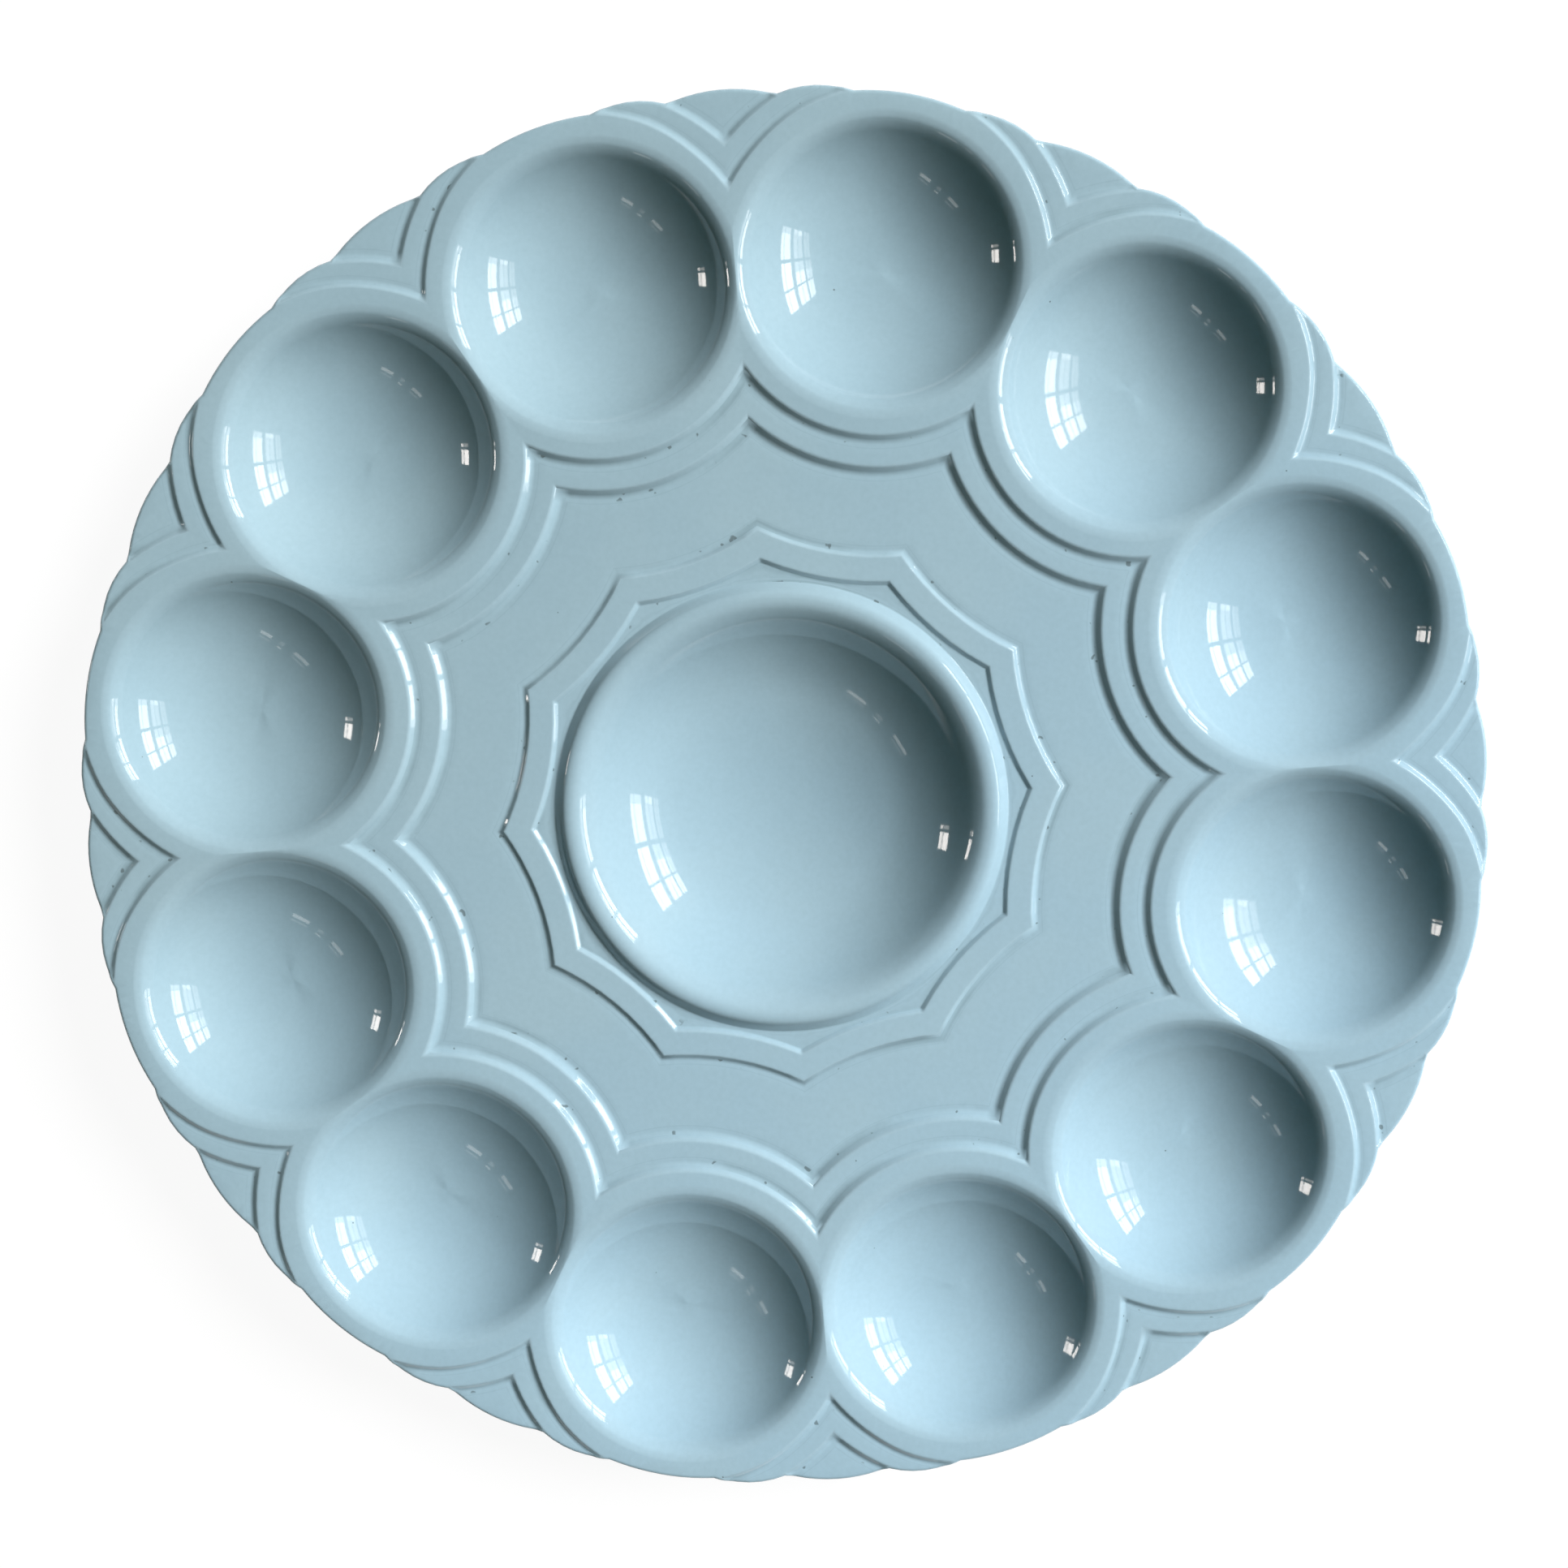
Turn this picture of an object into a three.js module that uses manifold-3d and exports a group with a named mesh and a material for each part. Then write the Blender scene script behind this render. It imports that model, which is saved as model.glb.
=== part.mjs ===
// An oyster tray of glazed earthenware: a ring of round wells about a sauce well, on a foot ring.
// Millimetres, +Z up. The origin is the centre of the foot ring's base, and the first well lies on +X.
import * as THREE from 'three';
import { mergeVertices } from 'three/addons/utils/BufferGeometryUtils.js';
import Module from 'manifold-3d';

const wasm = await Module();
wasm.setup();

// Oyster wells
const wellCount = 12;
const wellMouthRadius = 35.2; // where the flat land rolls over into the well
const wellDepth = 15.5; // below the ring land
const wellLipRadius = 2.5;
const wellLand = 1; // between the mouths of neighbouring wells

// Stepped land round each well, from the ring land down to the field
const ringWidth = 7;
const terraceWidth = 7.4;
const stepHeight = 1.6;
const stepRound = 0.7;

// Field and raised star border, measured outward from the terrace of a well
const fieldWidth = 21;
const starWidth = 7;
const starHeight = 1.5;
const moatWidth = 2.5; // between the star border and the sauce well's ring

// Sauce well
const sauceRollWidth = 3.8; // outer half of the rolled ring
const sauceRollHeight = 2.8; // above the field
const sauceLipRadius = 4.5;
const sauceDepth = 23.3; // below the top of the rolled ring

// Rim, lobed where the steps run out
const rimLand = 7.1; // from a mouth to the rim
const rimRound = 2;
const ringLobeChord = 28.2; // along the rim, where the ring land reaches it
const ringNotch = 1;
const terraceNotch = 2.3;
const terraceLobeDrop = 0.1;
const groundLobeDrop = 0.5;
const rimFade = 0.6; // share of a step that has gone where it reaches the rim

// Body and foot
const wall = 5; // under the wells
const deckThickness = 5.5; // under the field
const footInset = 3; // from the nearest terrace in to the foot ring
const footTopWidth = 11;
const footBaseWidth = 6.5;
const footEdge = 1.2;
const tableClearance = 2; // under the deepest well
const seam = 0.3; // between the parts

// Facets
const wellSegments = 24;
const domeSegments = 20;
const turnSegments = 40;
const capRows = 5;
const lipRows = 2;
const domeRows = 3;
const rollRows = 3;
const rimTopRows = 2;
const rimBottomRows = 1;
const stepSegments = 12;
const ringLobeSegments = 4;
const terraceLobeSegments = 3;
const groundLobeSegments = 4;
const starSegments = 4;

// Plan, worked out from the dimensions above
const half = Math.PI / wellCount;
const wellPitch = 2 * wellMouthRadius + wellLand;
const wellCircle = wellPitch / (2 * Math.sin(half));
const ringRadius = wellMouthRadius + ringWidth;
const terraceRadius = ringRadius + terraceWidth;
const starOuter = terraceRadius + fieldWidth; // both star radii are measured from a well's axis
const starInner = starOuter + starWidth;
const rimRadius = wellCircle + wellMouthRadius + rimLand;
const sauceRingRadius = wellCircle - starInner - moatWidth;
const sauceMouthRadius = sauceRingRadius - sauceRollWidth;
const footOuter = wellCircle - terraceRadius - footInset;

// Heights, set by the well that reaches deepest
const deepest = Math.max(sauceDepth - sauceRollHeight, wellDepth - 2 * stepHeight);
const fieldTop = tableClearance + wall + deepest;
const terraceTop = fieldTop + stepHeight;
const ringTop = terraceTop + stepHeight;
const sauceTop = fieldTop + sauceRollHeight;
const underside = fieldTop - deckThickness;

const glaze = { color: 0x9db8c4, roughness: 0.12, metalness: 0 };
const bareClay = { color: 0xcfc3ae, roughness: 0.85, metalness: 0 };

const polar = (radius, angle) => new THREE.Vector2(radius * Math.cos(angle), radius * Math.sin(angle));

// Points of the arc from start through via, without its end
function arcPoints(start, via, end, steps) {
  const toVia = via.clone().sub(start);
  const toEnd = end.clone().sub(start);
  const across = 2 * toVia.cross(toEnd);
  const centre = new THREE.Vector2(
    (toEnd.y * toVia.lengthSq() - toVia.y * toEnd.lengthSq()) / across,
    (toVia.x * toEnd.lengthSq() - toEnd.x * toVia.lengthSq()) / across,
  ).add(start);
  const radius = centre.distanceTo(start);
  const from = start.clone().sub(centre).angle();
  const turn = (end.clone().sub(centre).angle() - from) * Math.sign(across);
  const sweep = Math.sign(across) * THREE.MathUtils.euclideanModulo(turn, 2 * Math.PI);
  const points = [];
  for (let i = 0; i < steps; i += 1) {
    points.push(polar(radius, from + (sweep * i) / steps).add(centre));
  }
  return points;
}

// Where two neighbouring circles about the wells cross, on the line between the wells
const cuspReach = (radius) => Math.sqrt(radius ** 2 - (wellPitch / 2) ** 2);
const innerCusp = (radius) => wellCircle * Math.cos(half) - cuspReach(radius);
const outerCusp = (radius) => wellCircle * Math.cos(half) + cuspReach(radius);

// Star-shaped loop round the middle, at one distance from the axis of the nearest well
function starLoop(radius) {
  const points = [];
  for (let well = 0; well < wellCount; well += 1) {
    const angle = 2 * half * well;
    const start = polar(innerCusp(radius), angle - half);
    const end = polar(innerCusp(radius), angle + half);
    points.push(...arcPoints(start, polar(wellCircle - radius, angle), end, starSegments));
  }
  return points;
}

// Lobed outline: for each well a ring lobe and two terrace lobes, and a ground lobe between wells
const ringLobeAngle = Math.asin(ringLobeChord / 2 / rimRadius);
const notchRadius = rimRadius - terraceNotch;
const notchAngle = Math.acos(
  (notchRadius ** 2 + wellCircle ** 2 - terraceRadius ** 2) / (2 * notchRadius * wellCircle),
);

function rimOutline() {
  const points = [];
  const terracePeak = (ringLobeAngle + notchAngle) / 2;
  for (let well = 0; well < wellCount; well += 1) {
    const angle = 2 * half * well;
    const next = angle + 2 * half;
    const ringStart = polar(rimRadius - ringNotch, angle - ringLobeAngle);
    const ringEnd = polar(rimRadius - ringNotch, angle + ringLobeAngle);
    const groundStart = polar(notchRadius, angle + notchAngle);
    const groundEnd = polar(notchRadius, next - notchAngle);
    const nextRing = polar(rimRadius - ringNotch, next - ringLobeAngle);
    const groundOut = polar(rimRadius - groundLobeDrop, angle + half);
    const terraceOut = polar(rimRadius - terraceLobeDrop, angle + terracePeak);
    const terraceBack = polar(rimRadius - terraceLobeDrop, next - terracePeak);
    points.push(
      ...arcPoints(ringStart, polar(rimRadius, angle), ringEnd, ringLobeSegments),
      ...arcPoints(ringEnd, terraceOut, groundStart, terraceLobeSegments),
      ...arcPoints(groundStart, groundOut, groundEnd, groundLobeSegments),
      ...arcPoints(groundEnd, terraceBack, nextRing, terraceLobeSegments),
    );
  }
  return points;
}

// Upright slab of a plan, with its top and bottom edges chamfered inside the plan
function slab(points, bottom, top, edge, holes = []) {
  const shape = new THREE.Shape(points);
  shape.holes = holes.map((hole) => new THREE.Path(hole));
  const geometry = new THREE.ExtrudeGeometry(shape, {
    depth: top - bottom - 2 * edge,
    bevelEnabled: edge > 0,
    bevelThickness: edge,
    bevelSize: edge,
    bevelOffset: -edge,
    bevelSegments: 1,
  });
  return geometry.translate(0, 0, bottom + edge);
}

const turned = (profile, segments) => new THREE.LatheGeometry(profile, segments).rotateX(Math.PI / 2);

// Disc turned from a profile, with each of its columns drawn out to a point of the lobed outline
function lobedDisc(profile) {
  const outline = rimOutline();
  const geometry = turned(profile, outline.length);
  const place = geometry.attributes.position;
  for (let i = 0; i < place.count; i += 1) {
    const column = Math.floor(i / profile.length) % outline.length;
    const share = profile[i % profile.length].x / rimRadius;
    place.setX(i, outline[column].x * share);
    place.setY(i, outline[column].y * share);
  }
  return geometry;
}

// Quarter round of a rim, from one end of the arc to the other
function rimArc(height, fromAngle, toAngle, rows) {
  const points = [];
  for (let i = 0; i <= rows; i += 1) {
    const turn = fromAngle + ((toAngle - fromAngle) * i) / rows;
    points.push(polar(rimRound, turn).add(new THREE.Vector2(rimRadius - rimRound, height)));
  }
  return points;
}

function solid(geometry) {
  geometry.deleteAttribute('normal');
  geometry.deleteAttribute('uv');
  const merged = mergeVertices(geometry);
  const triangles = [];
  for (let i = 0; i < merged.index.count; i += 3) {
    const corners = [0, 1, 2].map((k) => merged.index.getX(i + k));
    if (new Set(corners).size === 3) triangles.push(...corners);
  }
  return new wasm.Manifold(new wasm.Mesh({
    numProp: 3,
    vertProperties: new Float32Array(merged.attributes.position.array),
    triVerts: new Uint32Array(triangles),
  }));
}

function geometryOf(manifold) {
  const { vertProperties, triVerts } = manifold.getMesh();
  const geometry = new THREE.BufferGeometry();
  geometry.setAttribute('position', new THREE.BufferAttribute(vertProperties, 3));
  geometry.setIndex(new THREE.BufferAttribute(triVerts, 1));
  geometry.computeVertexNormals();
  return geometry;
}

// Inside of a round well: a spherical cap that meets its rounded lip, and the lip's top circle, tangentially
function wellProfile(mouthRadius, depth, lipRadius, top) {
  const capRadius = (mouthRadius ** 2 + depth * (depth - 2 * lipRadius)) / (2 * depth);
  const capCentre = new THREE.Vector2(0, top - depth + capRadius);
  const lipCentre = new THREE.Vector2(mouthRadius, top - lipRadius);
  const capAngle = Math.asin(mouthRadius / (capRadius + lipRadius));
  const points = [];
  for (let i = 0; i < capRows; i += 1) {
    points.push(polar(capRadius, (capAngle * i) / capRows - Math.PI / 2).add(capCentre));
  }
  for (let i = 0; i <= lipRows; i += 1) {
    points.push(polar(lipRadius, Math.PI / 2 + capAngle * (1 - i / lipRows)).add(lipCentre));
  }
  return { points, capRadius, capCentre };
}

// Underside of a well: the same sphere, one wall thickness out, from the pole up to a height
function domeProfile({ capRadius, capCentre }, height) {
  const radius = capRadius + wall;
  const reach = Math.acos((capCentre.y - height) / radius);
  const points = [];
  for (let i = 0; i <= domeRows; i += 1) {
    points.push(polar(radius, (reach * i) / domeRows - Math.PI / 2).add(capCentre));
  }
  return points;
}

// Plan of the ring land: a circle about the well that spreads on the outer side to meet the rim's notches
function ringPlan() {
  const crossing = polar(outerCusp(ringRadius), half);
  const notch = polar(rimRadius - ringNotch, ringLobeAngle);
  const shift = (notch.lengthSq() - crossing.lengthSq()) / (2 * (notch.x - crossing.x));
  const spread = crossing.distanceTo(new THREE.Vector2(shift, 0));
  const below = new THREE.Vector2(crossing.x, -crossing.y);
  return [
    ...arcPoints(crossing, new THREE.Vector2(wellCircle - ringRadius, 0), below, stepSegments),
    ...arcPoints(below, new THREE.Vector2(shift + spread, 0), crossing, stepSegments),
  ];
}

function terracePlan() {
  const near = new THREE.Vector2(wellCircle - terraceRadius, 0);
  const far = new THREE.Vector2(wellCircle + terraceRadius, 0);
  const left = new THREE.Vector2(wellCircle, terraceRadius);
  const right = new THREE.Vector2(wellCircle, -terraceRadius);
  return [
    ...arcPoints(far, left, near, stepSegments),
    ...arcPoints(near, right, far, stepSegments),
  ];
}

// The steps sink less and less towards the rim, down to a share of their height
function fadeSteps(geometry) {
  const place = geometry.attributes.position;
  const from = outerCusp(ringRadius);
  for (let i = 0; i < place.count; i += 1) {
    const z = place.getZ(i);
    const out = (Math.hypot(place.getX(i), place.getY(i)) - from) / (rimRadius - from);
    const belowRing = Math.min(ringTop - z, (2 * stepHeight * (z - underside)) / deckThickness);
    if (out > 0 && z > underside) place.setZ(i, z + rimFade * out ** 2 * belowRing);
  }
  geometry.computeVertexNormals();
  return geometry;
}

// One twelfth of the outer ring, with its well on +X
function oysterWell() {
  const reach = 2 * rimRadius;
  const apex = new THREE.Vector2(seam / 2 / Math.sin(half), 0);
  const wedgePlan = [apex, polar(reach, -half).add(apex), polar(reach, half).add(apex)];
  const outerPlan = [
    new THREE.Vector2(wellCircle, -reach),
    new THREE.Vector2(reach, -reach),
    new THREE.Vector2(reach, reach),
    new THREE.Vector2(wellCircle, reach),
  ];
  const tall = (plan) => solid(slab(plan, -ringTop, 2 * ringTop, 0));
  const step = (plan, top) => solid(slab(plan, -ringTop, top, stepRound));
  const axisPoint = (height) => new THREE.Vector2(0, height);
  const topEdge = (top) => [...rimArc(top - rimRound, 0, Math.PI / 2, rimTopRows), axisPoint(top)];
  const bottomEdge = [axisPoint(underside), ...rimArc(underside + rimRound, -Math.PI / 2, 0, rimBottomRows)];

  // The lowest level carries the bottom edge, and the two above start where its top edge does
  const base = solid(lobedDisc([...bottomEdge, ...topEdge(fieldTop)]));
  const brim = [axisPoint(fieldTop - rimRound), new THREE.Vector2(rimRadius, fieldTop - rimRound)];
  const raised = (top) => solid(lobedDisc([...brim, ...topEdge(top)]));
  const terrace = raised(terraceTop).intersect(step(terracePlan(), terraceTop));
  const ring = raised(ringTop).intersect(step(ringPlan(), ringTop));
  const inner = base.intersect(step(terracePlan(), terraceTop + stepRound));
  const ground = base.intersect(tall(outerPlan)).add(inner);
  const land = ground.add(terrace).add(ring).intersect(tall(wedgePlan));

  const inside = wellProfile(wellMouthRadius, wellDepth, wellLipRadius, ringTop);
  const dome = domeProfile(inside, underside);
  const domeRadius = dome[dome.length - 1].x;
  const deckMiddle = underside + deckThickness / 2;
  const under = [...dome, new THREE.Vector2(domeRadius, deckMiddle), axisPoint(deckMiddle)];
  const over = [new THREE.Vector2(wellMouthRadius, 2 * ringTop), axisPoint(2 * ringTop)];
  const body = land.add(solid(turned(under, domeSegments).translate(wellCircle, 0, 0)));
  const hollow = solid(turned([...inside.points, ...over], wellSegments).translate(wellCircle, 0, 0));
  return fadeSteps(geometryOf(body.subtract(hollow)));
}

// Flat field with twelve bites for the wells, a hole for the sauce well and the raised star border
function centrePanel() {
  const hole = [];
  for (let i = 0; i < turnSegments; i += 1) {
    hole.push(polar(sauceRingRadius + seam, (2 * Math.PI * i) / turnSegments));
  }
  const field = slab(starLoop(terraceRadius + seam), underside, fieldTop, 0, [hole]);
  const starBottom = underside + deckThickness / 2;
  const star = slab(starLoop(starOuter), starBottom, fieldTop + starHeight, stepRound, [starLoop(starInner)]);
  return geometryOf(solid(field).add(solid(star)));
}

function sauceWell() {
  const inside = wellProfile(sauceMouthRadius, sauceDepth, sauceLipRadius, sauceTop);
  const roll = [];
  for (let i = 0; i < rollRows; i += 1) {
    const turn = (Math.PI / 2) * (i / rollRows);
    const x = sauceMouthRadius + sauceRollWidth * Math.cos(turn);
    roll.push(new THREE.Vector2(x, fieldTop + sauceRollHeight * Math.sin(turn)));
  }
  const edge = new THREE.Vector2(sauceRingRadius, underside);
  const profile = [...domeProfile(inside, underside), edge, ...roll, ...inside.points.reverse()];
  return geometryOf(solid(turned(profile, turnSegments)));
}

// Tapered ring, rounded at the edges it stands on
function footRing() {
  const middle = footOuter - footTopWidth / 2;
  const top = underside - seam;
  const baseHalf = footBaseWidth / 2;
  const profile = [
    [middle - baseHalf + footEdge, 0],
    [middle + baseHalf - footEdge, 0],
    [middle + baseHalf, footEdge],
    [middle + footTopWidth / 2, top],
    [middle - footTopWidth / 2, top],
    [middle - baseHalf, footEdge],
    [middle - baseHalf + footEdge, 0],
  ];
  return geometryOf(solid(turned(profile.map(([x, y]) => new THREE.Vector2(x, y)), turnSegments)));
}

function named(name, geometry, finish) {
  const mesh = new THREE.Mesh(geometry, new THREE.MeshStandardMaterial(finish));
  mesh.name = name;
  return mesh;
}

const tray = new THREE.Group();
tray.name = 'oyster_tray';

const wells = new THREE.Group();
const wellShape = oysterWell();
for (let well = 0; well < wellCount; well += 1) {
  const mesh = named(`oyster_well_${String(well + 1).padStart(2, '0')}`, wellShape, glaze);
  mesh.rotation.z = 2 * half * well;
  wells.add(mesh);
}

tray.add(
  wells,
  named('centre_panel', centrePanel(), glaze),
  named('sauce_well', sauceWell(), glaze),
  named('foot_ring', footRing(), bareClay),
);

export default tray;
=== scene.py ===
import math

import bmesh
import bpy
from mathutils import Matrix, Vector, noise


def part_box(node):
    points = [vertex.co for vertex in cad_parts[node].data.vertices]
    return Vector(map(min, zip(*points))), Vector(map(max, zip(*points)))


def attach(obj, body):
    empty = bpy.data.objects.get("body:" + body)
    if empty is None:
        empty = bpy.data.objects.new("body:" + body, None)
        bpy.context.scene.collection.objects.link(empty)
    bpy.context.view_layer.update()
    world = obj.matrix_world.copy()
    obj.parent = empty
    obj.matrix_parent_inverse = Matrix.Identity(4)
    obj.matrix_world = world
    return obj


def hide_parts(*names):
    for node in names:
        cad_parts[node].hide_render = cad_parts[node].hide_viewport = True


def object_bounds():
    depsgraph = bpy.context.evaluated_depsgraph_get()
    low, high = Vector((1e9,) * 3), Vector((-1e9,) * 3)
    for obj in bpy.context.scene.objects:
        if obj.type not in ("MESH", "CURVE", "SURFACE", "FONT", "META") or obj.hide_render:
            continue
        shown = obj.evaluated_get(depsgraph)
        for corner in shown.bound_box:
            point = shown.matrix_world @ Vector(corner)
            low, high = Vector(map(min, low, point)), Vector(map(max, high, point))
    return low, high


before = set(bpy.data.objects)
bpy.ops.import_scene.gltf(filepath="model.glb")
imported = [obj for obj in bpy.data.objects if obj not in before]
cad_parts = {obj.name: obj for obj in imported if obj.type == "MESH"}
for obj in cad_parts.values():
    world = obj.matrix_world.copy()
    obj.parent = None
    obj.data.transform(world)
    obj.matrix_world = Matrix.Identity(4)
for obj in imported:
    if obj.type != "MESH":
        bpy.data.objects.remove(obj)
cadLow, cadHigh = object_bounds()
scene = bpy.context.scene
mm = 0.001  # the pieces are modelled in millimetres and shrunk to metres at the end

# Glazed body, one moulding: sizes in millimetres, angles in degrees
tray = {
    "wells": 12,
    "mouth": 35.2,  # half the space between neighbouring wells, less the land between them
    "land": 1.0,
    "top": 37.9,  # where the land starts to roll over into a well
    # lip and bowl are arcs from the land downwards: radius, slope at its end, rows of faces
    "lip": ((8.5, 13.0, 4), (3.2, 28.0, 4), (10.0, 45.5, 4)),
    "bowl": ((44.0, 7.0, 12), (54.0, 0.0, 3)),
    "mouthShift": 0.73,  # the mouths lie this far outside the middles of their steps
    "bowlSkew": 0.055,  # slope by which a well's outer wall is the steeper one
    "ring": 6.65,  # widths of the flat bands, from a mouth outwards
    "terrace": 7.4,
    "field": 21.75,
    "star": 7.2,
    "fieldDrop": 1.5,  # of the field, below the top of the panel
    "step": 1.35,
    "starRise": 0.85,
    "stepTilt": 38.0,  # of a step's sloping face
    "stepEdge": 1.5,  # radius of its upper edge
    "stepFoot": 2.2,
    "starEdge": 1.0,
    "starFoot": 1.6,
    "moatFoot": 0.8,
    "footSwell": 5.0,  # slope by which the land rises again beyond the foot
    "swellRadius": 24.0,
    "edgeRows": 5,  # of faces
    "footRows": 6,
    "swellRows": 2,
    "support": 0.6,  # flat strip kept beside each step
    "stepReach": 2.0,  # half the width that a step takes up in plan
    "crown": 0.12,  # fall of the ring land towards its step
    "terraceOut": 0.5,  # the terrace's face lies this far out of its plan line
    "columns": 46,  # half a turn round a well
}

# Relief on the rim's side of a well, where it is slighter
rimward = {
    "full": 80.0,  # degrees round a well from straight outwards: whole up to the first, over at the second
    "gone": 130.0,
    "fade": 0.27,  # steps are lower and narrower by these shares
    "narrow": 0.2,
    "crown": 0.2,  # how much lower the mouth lies than the land
    "ringOut": 0.55,  # the ring's step lies this far out of its plan line, and the terrace's this far in
    "terraceIn": 0.65,
    "stepBand": 2.6,  # land this close to a step moves with it, and beyond the second distance it stays
    "landBand": 3.8,
}

# Sauce well in the middle
sauce = {
    "top": 53.9,  # radius of the roll's crest
    "lip": ((5.0, 32.0, 4), (18.0, 44.5, 4)),
    "bowl": ((55.7, 31.0, 7), (40.0, 18.0, 7), (90.0, 0.0, 7)),
    "rollEase": 4.2,  # radii and tilts of the roll's outer side, from the crest down
    "rollEaseTilt": 15.0,
    "roll": 2.6,
    "rollTilt": 45.0,
    "crease": 0.7,
    "moat": 0.25,
    "rows": (3, 5, 4),  # of faces on the roll's two arcs and in the crease
    "columns": 192,
}

# Lobed rim
rim = {
    "ringChord": 28.2,  # where the ring land reaches the rim
    "ringNotch": 1.0,  # notches and the other lobes lie this far inside the ring land's lobe
    "terraceNotch": 2.3,
    "terraceDrop": 0.1,
    "groundDrop": 0.5,
    "lobeSteps": 10,  # straight pieces of a lobe's arc
    "terraceSteps": 6,
    "spreadFull": 0.55,  # shares of half a well's angle between which the ring land stops spreading
    "spreadGone": 0.97,
    "terraceMargin": 1.0,  # the spread ends this far inside the terrace's step
    "round": 1.1,  # of the upper edge
    "reach": 9.0,  # band of the mesh that the outline may cut
    "rows": 6,  # of faces on each rounded edge
}

# Underside
under = {
    "wall": 5.0,
    "wellDome": 50.2,  # radii of the domes below the wells
    "sauceDome": 74.8,
    "fillet": 6.0,
    "sauceFillet": 4.0,
    "round": 2.4,  # of the rim's lower edge
    "columns": 64,
    "rows": 10,
    "filletRows": 5,
}

# Small unevenness of a hand-finished moulding
wobble = {"plan": 0.22, "planSize": 38.0, "apart": (31, 7, 5), "rise": 0.05, "riseSize": 16.0}

# Glaze depth, kept on the mesh: below 0 on edges, where it runs thin, and above 0 where it pools; the
# bowls' value also drives painted shade on their floors
pools = {
    "edge": -1,
    "lip": -0.5,
    "roll": -0.3,
    "crease": 1,
    # the bowls' value darkens their floors with painted shade, besides marking pooled glaze
    "bowl": 0.2,
    "bowlReach": 0.85,  # share of a bowl's radius at which its pool, and the painted shade on its floor, end
}

# Distances for merging, cutting and finding parts of a mesh
weld = {"merge": 0.002, "sectors": 0.004, "cut": 0.0001, "sliver": 0.0005, "level": 0.01}


def boxOf(node):
    low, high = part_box(node)
    return low / mm, high / mm


panelLow, panelHigh = boxOf("centre_panel")
sauceTop = boxOf("sauce_well")[1].z
footReach = boxOf("foot_ring")[1].x
half = math.pi / tray["wells"]
pitch = 2 * tray["mouth"] + tray["land"]
wellCircle = pitch / (2 * math.sin(half))
rimRadius = cadHigh.x / mm
fieldTop = panelHigh.z - tray["fieldDrop"]
terraceTop = fieldTop + tray["step"]
ringTop = terraceTop + tray["step"]
underside = panelLow.z
ringRadius = tray["mouth"] + tray["ring"]
terraceRadius = ringRadius + tray["terrace"]
terraceEdge = terraceRadius + tray["terraceOut"]
starOuter = terraceRadius + tray["field"]
starInner = starOuter + tray["star"]


def polar(radius, angle):
    return Vector((radius * math.cos(angle), radius * math.sin(angle), 0))


def angleOf(point):
    return math.atan2(point.y, point.x)


def ease(low, high, value):
    share = min(1, max(0, (value - low) / (high - low)))
    return share * share * (3 - 2 * share)


def outerCusp(radius):  # where two neighbouring circles about the wells cross, outside the wells
    return wellCircle * math.cos(half) + math.sqrt(radius ** 2 - (pitch / 2) ** 2)


def circleThrough(a, b, c):  # its centre
    ab = b - a
    ac = c - a
    across = 2 * (ab.x * ac.y - ab.y * ac.x)
    x = (ac.y * ab.length_squared - ab.y * ac.length_squared) / across
    y = (ab.x * ac.length_squared - ac.x * ab.length_squared) / across
    return a + Vector((x, y, 0))


def arcThrough(a, b, c, steps):
    centre = circleThrough(a, b, c)
    radius = (a - centre).length
    start = angleOf(a - centre)
    sweep = angleOf(c - centre) - start
    return [centre + polar(radius, start + sweep * i / steps) for i in range(steps + 1)]


def arcRow(x, z, radius, start, end, steps):  # rows of a profile: radius, height, glaze depth
    turns = [math.radians(start + (end - start) * i / steps) for i in range(steps + 1)]
    return [(x + radius * math.cos(turn), z + radius * math.sin(turn), 0) for turn in turns]


def arcSpan(*turns):  # width and fall of a chain of arcs, each a radius and the tilts that it turns between
    width = 0
    fall = 0
    for radius, start, end in turns:
        a = math.radians(start)
        b = math.radians(end)
        width += radius * abs(math.sin(b) - math.sin(a))
        fall += radius * abs(math.cos(b) - math.cos(a))
    return width, fall


def trace(x, z, moves):  # profile drawn outwards: arcs that turn the slope, and straight runs along it
    rows = [(x, z, 0)]
    tilt = 0
    for radius, target, steps, pool in moves:
        if radius is None:
            x += target
            z += target * math.tan(tilt)
            rows.append((x, z, pool))
            continue
        goal = math.radians(target)
        bend = radius if goal > tilt else -radius
        for i in range(1, steps + 1):
            turn = tilt + (goal - tilt) * i / steps
            rows.append((x + bend * (math.sin(turn) - math.sin(tilt)),
                         z + bend * (math.cos(tilt) - math.cos(turn)), pool))
        x, z = rows[-1][:2]
        tilt = goal
    return rows


def stepDown(middle, high, low, edge, foot, swell):  # a step's profile, with a flat strip on either side
    tilt = tray["stepTilt"]
    swellTurns = [(foot, 0, swell), (tray["swellRadius"], swell, 0)]
    topWidth, topFall = arcSpan((edge, 0, tilt))
    footFall = arcSpan((foot, tilt, 0))[1]
    dish = arcSpan(*swellTurns)[1]
    face = (high - low + dish - topFall - footFall) / math.tan(math.radians(tilt))
    top = middle - face / 2 - topWidth
    moves = [
        (edge, -tilt, tray["edgeRows"], pools["edge"]),
        (None, face, 1, 0),
        (foot, swell, tray["footRows"], pools["crease"]),
    ]
    if swell:
        moves.append((tray["swellRadius"], 0, tray["swellRows"], 0))
    rows = [(top - tray["support"], high, 0)] + trace(top, high, moves)
    return rows + [(rows[-1][0] + tray["support"], low, 0)]


def mirrored(edge, rows):
    return [(2 * edge - x, z, pool) for x, z, pool in reversed(rows)]


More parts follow.
